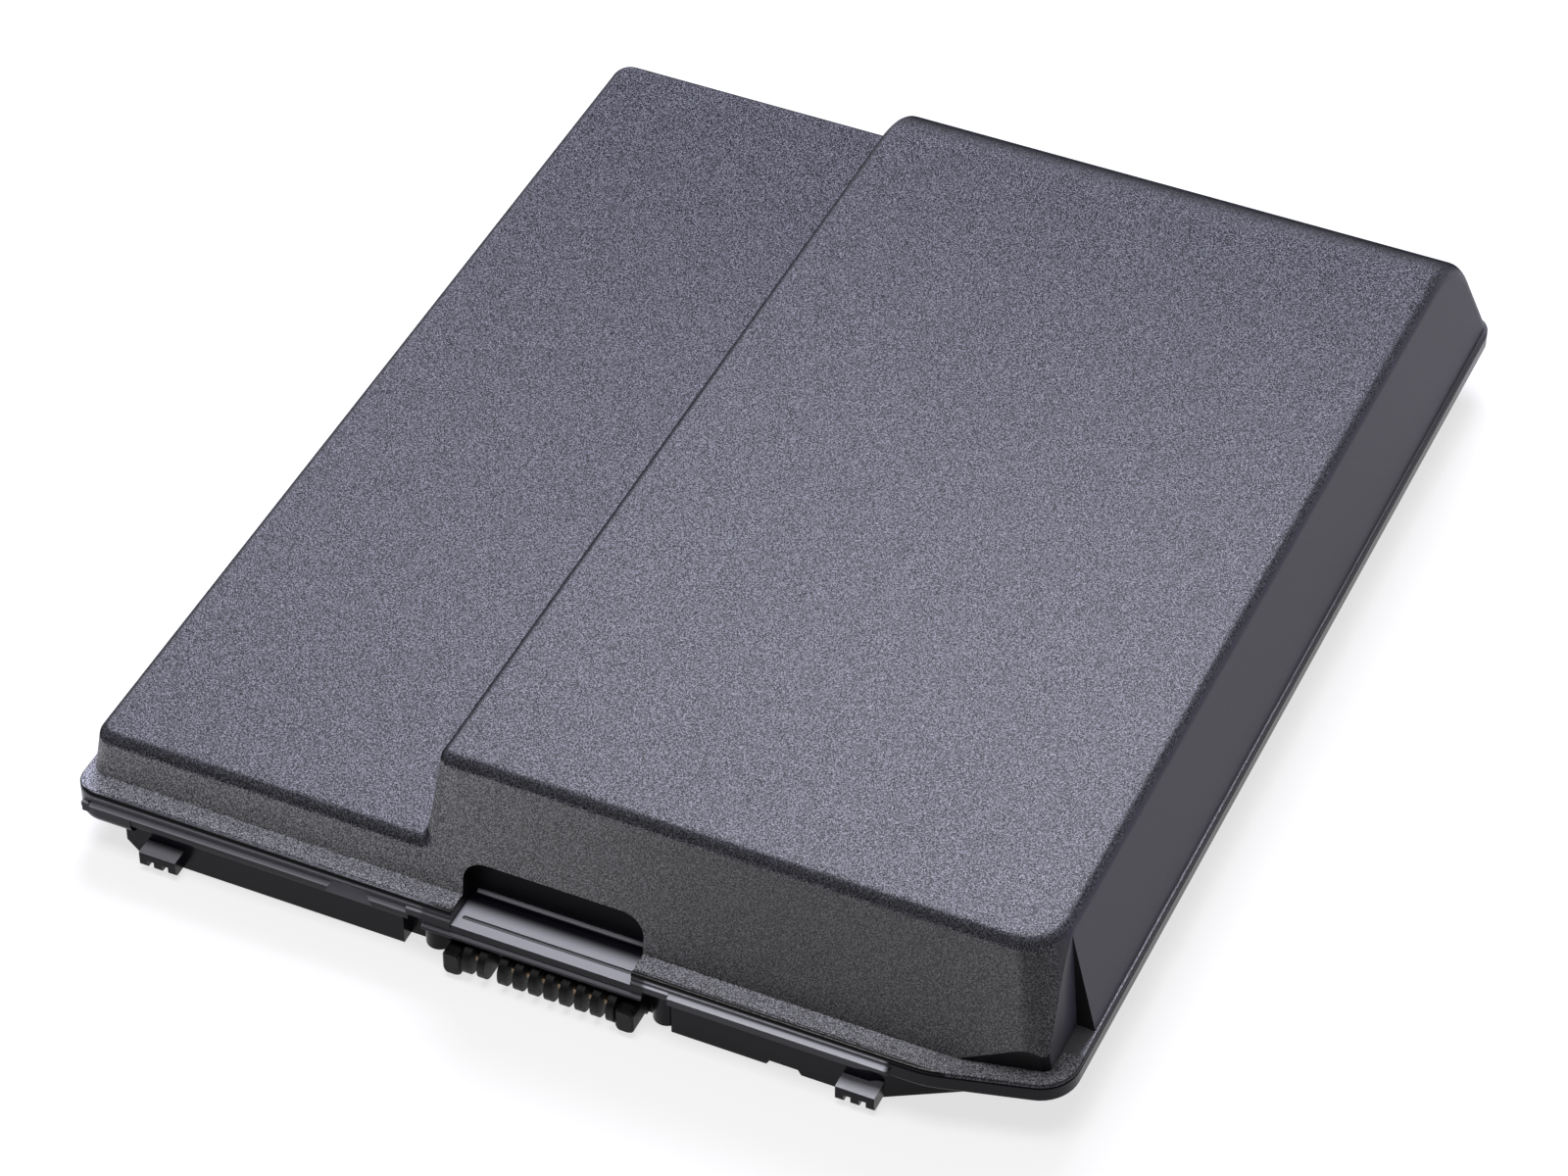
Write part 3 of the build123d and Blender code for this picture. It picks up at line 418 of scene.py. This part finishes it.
def cover_plastic():
    """Sandy grain on decks and front, smooth on the right, black in recess and pocket, with painted light
    and shade.
    """
    material, nodes, shader, place = new_material("cover_plastic")
    at = nodes.along_axes(place)
    facing = nodes.normal()
    slanted = nodes.add("ShaderNodeMapping", {"Vector": place, "Rotation": GRAIN_TURN}).outputs["Vector"]
    fine = nodes.noise(slanted, FINE_GRAIN, detail=1.0, roughness=0.6)
    coarse = nodes.noise(slanted, COARSE_GRAIN, detail=0.0)
    cloud = nodes.noise(place, COVER_CLOUD, detail=3.0)
    grain = nodes.total(nodes.times(fine, FINE_SHARE), nodes.times(coarse, COARSE_SHARE))
    zones = cover_zones(nodes, at, facing)
    colour = cover_colour(nodes, zones, at, grain, cloud)
    smooth = nodes.most(zones["side"], zones["lit_lip"], zones["black"])
    rough = nodes.step(grain, *ROUGH_GRAIN, *COVER_ROUGH)
    rough = nodes.math("SUBTRACT", rough, nodes.times(smooth, SMOOTH_ROUGH_CUT))
    height = nodes.times(grain, nodes.left_of_one(smooth, SMOOTH_BUMP_CUT))
    sheen = cover_sheen(nodes, zones, at, facing, grain)
    nodes.tree.links.new(sheen, shader.inputs["Specular IOR Level"])
    nodes.finish(shader, colour, rough, height, COVER_BUMP, COVER_BUMP_DEPTH)
    return material


# Case: grain and shades, from dark to light; the pale shades are painted light and painted highlights
CASE_GRAIN = 4200
CASE_CLOUD = 30
CASE_BLACK = ((0.011, 0.011, 0.017), (0.016, 0.016, 0.023))
# Recess floor: painted light, a pale satin tone in place of a bright reflection
RECESS_FLOOR_PAINTED_LIGHT = ((0.76, 0.76, 0.88), (0.82, 0.82, 0.94))
# Painted highlights on the rails, the tab tops, the bead and the groove
PAINTED_HIGHLIGHT_SHADES = ((0.84, 0.84, 0.93), (0.9, 0.9, 1.0))

# Case: places and parts of the normal between which the painted light on the recess floor, its groove and
# its bead shows
FLOOR_SIDES = mm(-12.5, 10.7)
FLOOR_LEVEL = mm(7.1, 7.3)
FLOOR_SOFT = 0.04 * MM
FLOOR_UP = (0.7, 0.9)
# Painted shade: the floor's painted light fades out towards the back, under the overhang
FLOOR_SHADE_FADE = mm(-73.4, -71.0)
GROOVE_LEVEL = mm(6.6, 7.05)
GROOVE_DEPTH = mm(-74.8, -73.5)
GROOVE_SOFT = 0.1 * MM
GROOVE_LIGHT_SHARE = 0.3
BEAD_LEVEL = mm(7.8, 8.3)
BEAD_LEVEL_SOFT = 0.1 * MM
BEAD_UP = (0.2, 0.8)
BEAD_DEPTH = mm(-71.5, -68.0)
BEAD_DEPTH_SOFT = 0.2 * MM
BEAD_HIGHLIGHT_SHARE = 0.7

# Case: places and parts of the normal between which the painted highlights on the front rails and the tab
# tops show
RAIL_BACK = mm(-75.2, -75.0)
RAIL_UP = (-0.1, 0.6)
RAIL_UNDER_SHARE = 0.05
RAIL_LEVEL = mm(5.2, 5.6)
RAIL_END = mm(42.4, 43.2)
LEFT_RAIL_END = mm(11.8, 13.0)
LEFT_RAIL_HIGHLIGHT_SHARE = 0.5
HOOD_SIDES = mm(-16.3, 12.4)
HOOD_SOFT = 0.3 * MM
HOOD_HIGHLIGHT_CUT = 0.6
TAB_LEVEL = mm(2.3, 3.1)
TAB_SOFT = 0.2 * MM
TAB_UP = (0.4, 0.8)
TAB_BACK = mm(-74.2, -73.8)
TAB_MIDDLE = mm(-20, 20)
LEFT_TAB_HIGHLIGHT_SHARE = 0.35

# Case: gloss, and the dull underside
UNDERSIDE = (-0.9, -0.6)
CASE_ROUGH_GRAIN = (0.3, 0.7)
CASE_ROUGH = (0.2, 0.27)
UNDERSIDE_ROUGH = 0.4
UNDERSIDE_BUMP = 0.9
GLOSS_BUMP = 0.04
CASE_SHEEN = 0.13
CASE_BUMP = 0.4
CASE_BUMP_DEPTH = 0.2 * MM


def recess_zones(nodes, at, facing):
    """Where the painted light on the recess floor and the painted highlights along it lie."""
    in_recess = nodes.between(at["X"], *FLOOR_SIDES, RECESS_SOFT)
    # Painted light on the flat recess floor, fading into painted shade at the back
    lit_recess_floor = nodes.times(
        in_recess,
        nodes.between(at["Z"], *FLOOR_LEVEL, FLOOR_SOFT),
        nodes.step(facing["Z"], *FLOOR_UP),
        nodes.fall(at["Y"], *FLOOR_SHADE_FADE),
    )
    groove = nodes.times(
        in_recess,
        nodes.between(at["Z"], *GROOVE_LEVEL, FLOOR_SOFT),
        nodes.between(at["Y"], *GROOVE_DEPTH, GROOVE_SOFT),
    )
    bead = nodes.times(
        in_recess,
        nodes.between(at["Z"], *BEAD_LEVEL, BEAD_LEVEL_SOFT),
        nodes.step(facing["Z"], *BEAD_UP),
        nodes.between(at["Y"], *BEAD_DEPTH, BEAD_DEPTH_SOFT),
    )
    # Painted highlight on the bead at the foot of the back wall, fainter painted light in the groove
    return lit_recess_floor, nodes.most(nodes.times(bead, BEAD_HIGHLIGHT_SHARE), nodes.times(groove, GROOVE_LIGHT_SHARE))


def rail_tab_highlight_zone(nodes, at, facing):
    """Where the painted highlights on the front rails and the tops of the guide tabs lie."""
    on_hood = nodes.between(at["X"], *HOOD_SIDES, HOOD_SOFT)
    # Painted highlight on the up-facing faces of the front rails, weaker on the left and under the hood
    rail = nodes.times(
        nodes.fall(at["Y"], *RAIL_BACK),
        nodes.step(facing["Z"], *RAIL_UP, RAIL_UNDER_SHARE, 1.0),
        nodes.step(at["Z"], *RAIL_LEVEL),
        nodes.fall(at["X"], *RAIL_END),
        nodes.step(at["X"], *LEFT_RAIL_END, LEFT_RAIL_HIGHLIGHT_SHARE, 1.0),
        nodes.left_of_one(on_hood, HOOD_HIGHLIGHT_CUT),
    )
    # Painted highlight on the tops of the guide tabs, weaker on the left
    tab = nodes.times(
        nodes.between(at["Z"], *TAB_LEVEL, TAB_SOFT),
        nodes.step(facing["Z"], *TAB_UP),
        nodes.fall(at["Y"], *TAB_BACK),
        nodes.step(at["X"], *TAB_MIDDLE, LEFT_TAB_HIGHLIGHT_SHARE, 1.0),
    )
    return nodes.most(rail, tab)


def case_plastic():
    """Glossy black, with painted highlights along the front rails and painted light on the recess floor,
    dull underneath.
    """
    material, nodes, shader, place = new_material("case_plastic")
    at = nodes.along_axes(place)
    facing = nodes.normal()
    fine = nodes.noise(place, CASE_GRAIN, detail=2.0, roughness=0.6)
    cloud = nodes.noise(place, CASE_CLOUD, detail=3.0)
    lit_recess_floor, floor_painted_lines = recess_zones(nodes, at, facing)
    # Painted highlights on rails, tabs and floor lines over the glossy black
    painted_highlight_zone = nodes.most(rail_tab_highlight_zone(nodes, at, facing), floor_painted_lines)
    black = nodes.ramp(cloud, CLOUD_STOPS, CASE_BLACK)
    colour = nodes.blend(painted_highlight_zone, black, nodes.ramp(cloud, CLOUD_STOPS, PAINTED_HIGHLIGHT_SHADES))
    colour = nodes.blend(lit_recess_floor, colour, nodes.ramp(cloud, CLOUD_STOPS, RECESS_FLOOR_PAINTED_LIGHT))
    under = nodes.fall(facing["Z"], *UNDERSIDE)
    rough = nodes.step(fine, *CASE_ROUGH_GRAIN, *CASE_ROUGH)
    rough = nodes.total(rough, nodes.times(under, UNDERSIDE_ROUGH))
    height = nodes.times(fine, nodes.total(nodes.times(under, UNDERSIDE_BUMP), GLOSS_BUMP))
    shader.inputs["Specular IOR Level"].default_value = CASE_SHEEN
    nodes.finish(shader, colour, rough, height, CASE_BUMP, CASE_BUMP_DEPTH)
    return material


# Plain materials: two shades mixed by noise, with roughness and bump from the same noise
PLAIN_ROUGH_STOPS = (0.25, 0.75)
PLAIN_BUMP_DEPTH = 0.1 * MM
FOAM_BUMP_DEPTH = 0.3 * MM
DRAWN_UPRIGHT = (1, 1, 0.08)
DRAWN_ALONG = (1, 0.05, 1)


def plain(name, shades, scale, rough, bump, depth=PLAIN_BUMP_DEPTH, metallic=0.0, stretch=None, sheen=0.5):
    """Plain material, with its noise drawn out along an axis where a stretch is given."""
    material, nodes, shader, place = new_material(name)
    if stretch:
        place = nodes.add("ShaderNodeMapping", {"Vector": place, "Scale": stretch}).outputs["Vector"]
    value = nodes.noise(place, scale, detail=3.0)
    colour = nodes.ramp(value, CLOUD_STOPS, shades)
    roughness = nodes.step(value, *PLAIN_ROUGH_STOPS, *rough)
    shader.inputs["Metallic"].default_value = metallic
    shader.inputs["Specular IOR Level"].default_value = sheen
    nodes.finish(shader, colour, roughness, value, bump, depth)
    return material


def connector_plastic():
    """Matte black."""
    shades = ((0.005, 0.005, 0.006), (0.01, 0.01, 0.011))
    return plain("connector_plastic", shades, scale=2600, rough=(0.42, 0.54), bump=0.2, sheen=0.22)


def contact_metal():
    """Plated metal of a reddish brass tone."""
    shades = ((0.34, 0.25, 0.17), (0.46, 0.35, 0.25))
    return plain("contact_metal", shades, scale=1800, rough=(0.3, 0.42), bump=0.1, metallic=1.0)


def solder_mask():
    """Green of the circuit board."""
    shades = ((0.012, 0.11, 0.05), (0.02, 0.17, 0.08))
    return plain("solder_mask", shades, scale=700, rough=(0.28, 0.4), bump=0.15)


def fuse_ceramic():
    """Off-white glaze."""
    shades = ((0.74, 0.73, 0.68), (0.86, 0.85, 0.81))
    return plain("fuse_ceramic", shades, scale=900, rough=(0.25, 0.4), bump=0.1)


def resistor_body():
    """Dark grey."""
    shades = ((0.03, 0.03, 0.032), (0.055, 0.055, 0.055))
    return plain("resistor", shades, scale=1500, rough=(0.35, 0.5), bump=0.15)


def capacitor_body():
    """Tan ceramic."""
    shades = ((0.42, 0.31, 0.19), (0.56, 0.43, 0.29))
    return plain("capacitor", shades, scale=1500, rough=(0.35, 0.5), bump=0.12)


def sensor_film():
    """Amber film."""
    shades = ((0.4, 0.2, 0.03), (0.56, 0.32, 0.06))
    return plain("sensor_film", shades, scale=900, rough=(0.25, 0.4), bump=0.1)


def chip_body():
    """Moulded black of the chips."""
    shades = ((0.016, 0.016, 0.017), (0.028, 0.028, 0.03))
    return plain("chip", shades, scale=2400, rough=(0.45, 0.6), bump=0.2)


def nickel_strip():
    """Warm grey metal, drawn upright."""
    shades = ((0.55, 0.53, 0.49), (0.68, 0.66, 0.62))
    return plain(
        "nickel", shades, scale=900, rough=(0.28, 0.42), bump=0.12,
        metallic=1.0, stretch=DRAWN_UPRIGHT,
    )


def soft_foam():
    """Black foam, rough all over."""
    shades = ((0.035, 0.035, 0.036), (0.075, 0.075, 0.077))
    return plain("foam", shades, scale=2200, rough=(0.85, 0.97), bump=0.7, depth=FOAM_BUMP_DEPTH)


def cell_can():
    """Bright can, drawn along its length."""
    shades = ((0.66, 0.66, 0.68), (0.78, 0.78, 0.8))
    return plain(
        "cell_can", shades, scale=1400, rough=(0.26, 0.4), bump=0.08,
        metallic=1.0, stretch=DRAWN_ALONG,
    )


# One material for each group of nodes
CELLS = [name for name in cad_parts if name.startswith("cell_")]
LOOKS = (
    (cover_plastic, ["upper_cover"]),
    (case_plastic, ["lower_case"]),
    (connector_plastic, ["connector_housing"]),
    (contact_metal, ["contacts"]),
    (solder_mask, ["circuit_board"]),
    (fuse_ceramic, ["fuse"]),
    (resistor_body, ["sense_resistor"]),
    (capacitor_body, ["capacitors"]),
    (sensor_film, ["thermistor"]),
    (chip_body, ["gauge_chip", "mosfets"]),
    (nickel_strip, ["front_bus", "middle_link", "rear_bus", "return_strip", "sense_strip"]),
    (soft_foam, ["layer_tape", "low_pad", "top_pads"]),
    (cell_can, CELLS),
)
for make_material, names in LOOKS:
    look = make_material()
    for name in names:
        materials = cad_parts[name].data.materials
        materials.clear()
        materials.append(look)
